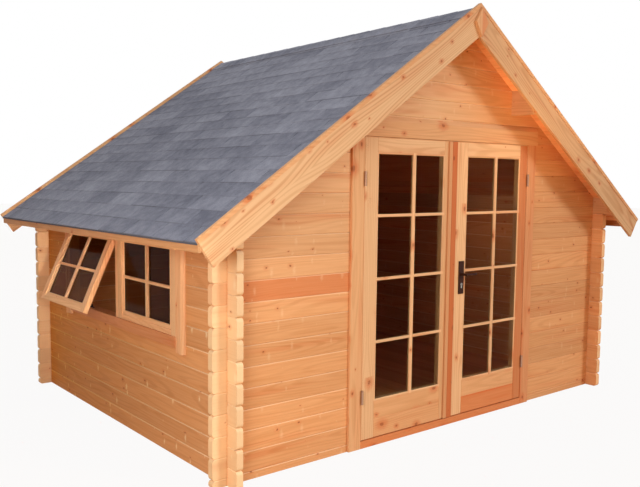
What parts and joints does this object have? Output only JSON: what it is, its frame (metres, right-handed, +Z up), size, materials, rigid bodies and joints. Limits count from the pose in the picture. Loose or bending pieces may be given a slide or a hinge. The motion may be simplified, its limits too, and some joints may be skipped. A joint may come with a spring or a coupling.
{
  "type": "log cabin",
  "caption": "Hollow timber log cabin with a shingled gable roof, a glazed double door with a lever handle and a twin top-hung window in one side wall.",
  "frame": {"origin": "on the ground under the middle of the cabin", "axes": "+X to the right along the front gable, +Y from the front gable to the back, +Z up"},
  "size_m": [4, 2.9866, 2.6774],
  "materials": {
    "pine_logs": "planed, untreated",
    "planed_pine": "planed, untreated",
    "red_pine": "planed, untreated",
    "floor_pine": "planed, untreated",
    "roof_shingle": "mineral grit",
    "window_glass": "clear",
    "dark_metal": "satin dark brown",
    "zinc_steel": "zinc plated"
  },
  "bodies": {
    "cabin": {"front_wall_left_logs": "pine_logs", "front_wall_right_logs": "pine_logs", "front_gable_logs": "pine_logs", "back_wall_logs": "pine_logs", "back_gable_logs": "pine_logs", "left_wall_lower_logs": "pine_logs", "left_wall_front_logs": "pine_logs", "left_wall_back_logs": "pine_logs", "left_wall_head_log": "pine_logs", "right_wall_logs": "pine_logs", "wall_plates": "pine_logs", "side_purlins": "pine_logs", "ridge_purlin": "pine_logs", "left_roof_deck": "planed_pine", "right_roof_deck": "planed_pine", "left_roof_shingles": "roof_shingle", "right_roof_shingles": "roof_shingle", "ridge_cap": "roof_shingle", "eave_fascias": "planed_pine", "front_left_bargeboard": "planed_pine", "front_right_bargeboard": "planed_pine", "rear_left_bargeboard": "planed_pine", "rear_right_bargeboard": "planed_pine", "capping_strips": "planed_pine", "apex_plates": "planed_pine", "floor_boards": "floor_pine", "floor_bearers": "floor_pine", "door_frame": "planed_pine", "door_threshold": "red_pine", "door_cover_strips": "planed_pine", "door_lintel_board": "planed_pine", "frame_hinges": "zinc_steel", "window_frame": "planed_pine", "window_sill": "red_pine", "window_cover_strips": "planed_pine", "left_window_sash": "planed_pine", "right_window_sash": "planed_pine", "window_glass": "window_glass", "casement_stay": "dark_metal"},
    "left_leaf": {"left_door_leaf": "planed_pine", "left_door_glass": "window_glass", "meeting_strip": "red_pine", "left_leaf_hinges": "zinc_steel"},
    "right_leaf": {"right_door_leaf": "planed_pine", "right_door_glass": "window_glass", "right_leaf_hinges": "zinc_steel", "handle_plate": "dark_metal"},
    "lever": {"lever_handle": "dark_metal"}
  },
  "joints": [
    {"name": "left_leaf_hinge", "type": "hinge", "parent": "cabin", "child": "left_leaf", "pos_m": [-0.778, -1.308, 0.95], "axis": [0, 0, -1], "range_deg": [0, 110]},
    {"name": "right_leaf_hinge", "type": "hinge", "parent": "cabin", "child": "right_leaf", "pos_m": [0.778, -1.308, 0.95], "axis": [0, 0, 1], "range_deg": [0, 110]},
    {"name": "lever_turn", "type": "hinge", "parent": "right_leaf", "child": "lever", "pos_m": [0.096, -1.32, 0.99], "axis": [0, 1, 0], "range_deg": [0, 40], "stiffness_Nm_per_rad": 1.2, "springref_deg": -20.05}
  ]
}
